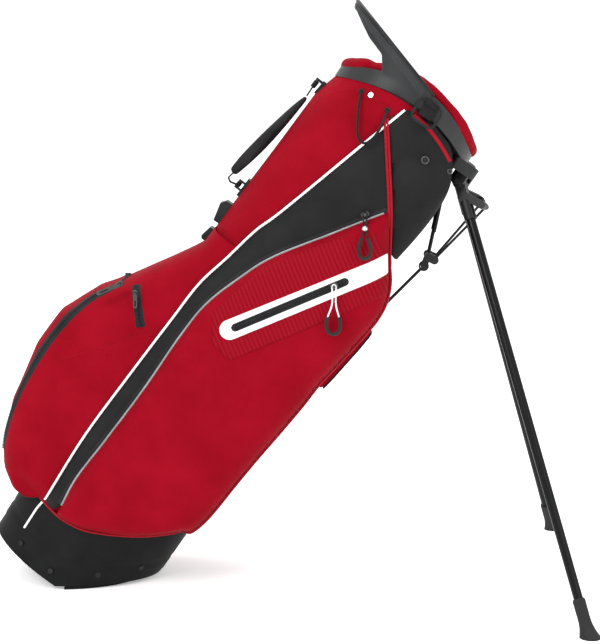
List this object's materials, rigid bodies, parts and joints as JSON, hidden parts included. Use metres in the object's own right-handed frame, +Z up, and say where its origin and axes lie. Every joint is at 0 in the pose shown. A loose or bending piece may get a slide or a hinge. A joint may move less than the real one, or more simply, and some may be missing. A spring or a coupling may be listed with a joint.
{
  "type": "golf stand bag",
  "caption": "Golf bag leaning on two splayed legs, with a linked foot plate, padded cuff with lift handle, zipped pockets and carry handle.",
  "frame": {"origin": "middle of the foot plate's contact face on the floor, where the plate meets the bag's heel line", "axes": "+Z up, +X from the bag's base towards the stand's feet, -Y the near side with the large decorated pocket; the bag leans 34.5 degrees from upright towards +X"},
  "size_m": [0.9213, 0.6146, 0.8979],
  "materials": {
    "boot_plastic": "satin",
    "screw_steel": "black-oxide",
    "red_fabric": "coated nylon",
    "black_fabric": "coated nylon",
    "divider_fabric": "woven",
    "stay_fibre": "glass fibre",
    "cuff_plastic": "satin",
    "divider_plastic": "matte",
    "red_pad": "padded coated nylon",
    "black_pad": "padded mesh",
    "black_plastic": "satin",
    "snap_metal": "polished",
    "black_aluminium": "gloss",
    "wire_steel": "satin",
    "foot_rubber": "matte",
    "welt_white": "coated",
    "zip_tape": "reflective",
    "slider_metal": "satin",
    "white_cord": "braided",
    "black_cord": "braided elastic"
  },
  "bodies": {
    "bag": {"ball_pocket": "red_fabric", "base_boot": "boot_plastic", "base_screws": "screw_steel", "body_tube": "red_fabric", "cuff_collar": "cuff_plastic", "cuff_pad": "red_pad", "cuff_ring": "cuff_plastic", "cuff_snaps": "snap_metal", "divider_sheets": "divider_fabric", "divider_top": "divider_plastic", "elastic_loop": "black_cord", "foot_hinge_pin": "screw_steel", "handle_buckles": "black_plastic", "hip_pad": "black_pad", "hub_block": "cuff_plastic", "hub_pins": "screw_steel", "leg_panel_far": "black_fabric", "leg_panel_near": "black_fabric", "lift_handle": "cuff_plastic", "loop_eyelets": "black_plastic", "ring_tab": "black_fabric", "side_panel_far": "black_fabric", "side_panel_near": "black_fabric", "side_pocket_far": "red_fabric", "side_pocket_near": "red_fabric", "sole_plate": "boot_plastic", "stay_rods": "stay_fibre", "strap_band": "black_fabric", "strap_fittings": "black_plastic", "welt_panel": "welt_white", "zip_tapes": "zip_tape"},
    "leg_near": {"leg_head_near": "black_plastic", "leg_tube_near": "black_aluminium", "leg_foot_near": "foot_rubber", "link_pin_near": "screw_steel"},
    "leg_far": {"leg_head_far": "black_plastic", "leg_tube_far": "black_aluminium", "leg_foot_far": "foot_rubber", "link_pin_far": "screw_steel"},
    "link_near": {"link_rod_near": "wire_steel"},
    "link_far": {"link_rod_far": "wire_steel"},
    "return_strut": {"strut_sleeves": "black_aluminium"},
    "strut_carriage": {"strut_rods": "wire_steel", "connector": "black_plastic"},
    "foot_plate": {"foot_plate": "boot_plastic", "actuator_pin": "screw_steel"},
    "actuator": {"actuator_rod": "wire_steel"},
    "welt_slider": {"slider_welt": "slider_metal", "pull_cord_welt": "white_cord", "pull_grip_welt": "foot_rubber"},
    "pocket_slider": {"slider_pocket": "slider_metal", "pull_cord_pocket": "black_cord", "pull_grip_pocket": "foot_rubber", "pull_bead": "slider_metal"},
    "ball_slider": {"slider_ball": "slider_metal"},
    "accessory_slider": {"slider_accessory": "slider_metal"},
    "carry_handle": {"handle_pad": "black_pad", "handle_webbing": "black_fabric"},
    "d_ring": {"d_ring": "black_plastic"}
  },
  "joints": [
    {"name": "leg_near_fold", "type": "hinge", "parent": "bag", "child": "leg_near", "pos_m": [0.55047, -0.034, 0.62518], "axis": [0.3891, 0.8864, -0.2506], "range_deg": [0, 52.27]},
    {"name": "leg_far_fold", "type": "hinge", "parent": "bag", "child": "leg_far", "pos_m": [0.55047, 0.034, 0.62518], "axis": [-0.3891, 0.8864, 0.2506], "range_deg": [0, 52.28]},
    {"name": "foot_plate_tilt", "type": "hinge", "parent": "bag", "child": "foot_plate", "pos_m": [-0.05814, 0, 0.006], "axis": [0, 1, 0], "range_deg": [0, 34.51]},
    {"name": "strut_swing", "type": "hinge", "parent": "bag", "child": "return_strut", "pos_m": [0.52987, 0, 0.63934], "axis": [0, 1, 0], "range_deg": [0, 11.56]},
    {"name": "strut_slide", "type": "slide", "parent": "return_strut", "child": "strut_carriage", "axis": [-0.2019, 0, -0.9794], "range_m": [0, 0.03199]},
    {"name": "link_near_swing", "type": "hinge", "parent": "leg_near", "child": "link_near", "pos_m": [0.58824, -0.047, 0.58996], "axis": [-0.5193, -0.8484, 0.1025], "range_deg": [0, 56.49]},
    {"name": "link_far_swing", "type": "hinge", "parent": "leg_far", "child": "link_far", "pos_m": [0.58824, 0.047, 0.58996], "axis": [0.5193, -0.8484, -0.1025], "range_deg": [0, 56.49]},
    {"name": "actuator_swing", "type": "hinge", "parent": "foot_plate", "child": "actuator", "pos_m": [0.02483, 0, 0.014], "axis": [0, -1, 0], "range_deg": [0, 38.09]},
    {"name": "welt_zip", "type": "slide", "parent": "bag", "child": "welt_slider", "axis": [-0.9196, 0, -0.3928], "range_m": [0, 0.15]},
    {"name": "pocket_zip", "type": "slide", "parent": "bag", "child": "pocket_slider", "axis": [-0.9405, 0, -0.3397], "range_m": [0, 0.05]},
    {"name": "ball_zip", "type": "slide", "parent": "bag", "child": "ball_slider", "axis": [-0.8752, 0, -0.4838], "range_m": [0, 0.028]},
    {"name": "accessory_zip", "type": "slide", "parent": "bag", "child": "accessory_slider", "axis": [0.1448, 0, -0.9895], "range_m": [0, 0.038]},
    {"name": "carry_handle_swing", "type": "hinge", "parent": "bag", "child": "carry_handle", "pos_m": [0.32882, 0, 0.77266], "axis": [-0.6081, 0, -0.7939], "range_deg": [-35, 35]},
    {"name": "d_ring_swing", "type": "hinge", "parent": "bag", "child": "d_ring", "pos_m": [0.50528, -0.1095, 0.74481], "axis": [0.8241, 0, -0.5664], "range_deg": [-150, 0]}
  ],
  "couplings": [
    {"joint": "leg_far_fold", "follows": "leg_near_fold", "ratio": 1},
    {"joint": "foot_plate_tilt", "follows": "leg_near_fold", "ratio": 0.65998},
    {"joint": "strut_swing", "follows": "leg_near_fold", "ratio": 0.22101},
    {"joint": "strut_slide", "follows": "leg_near_fold", "m_per_rad": 0.035049},
    {"joint": "link_near_swing", "follows": "leg_near_fold", "ratio": 1.0805},
    {"joint": "link_far_swing", "follows": "leg_near_fold", "ratio": 1.0805},
    {"joint": "actuator_swing", "follows": "leg_near_fold", "ratio": 0.72839}
  ]
}
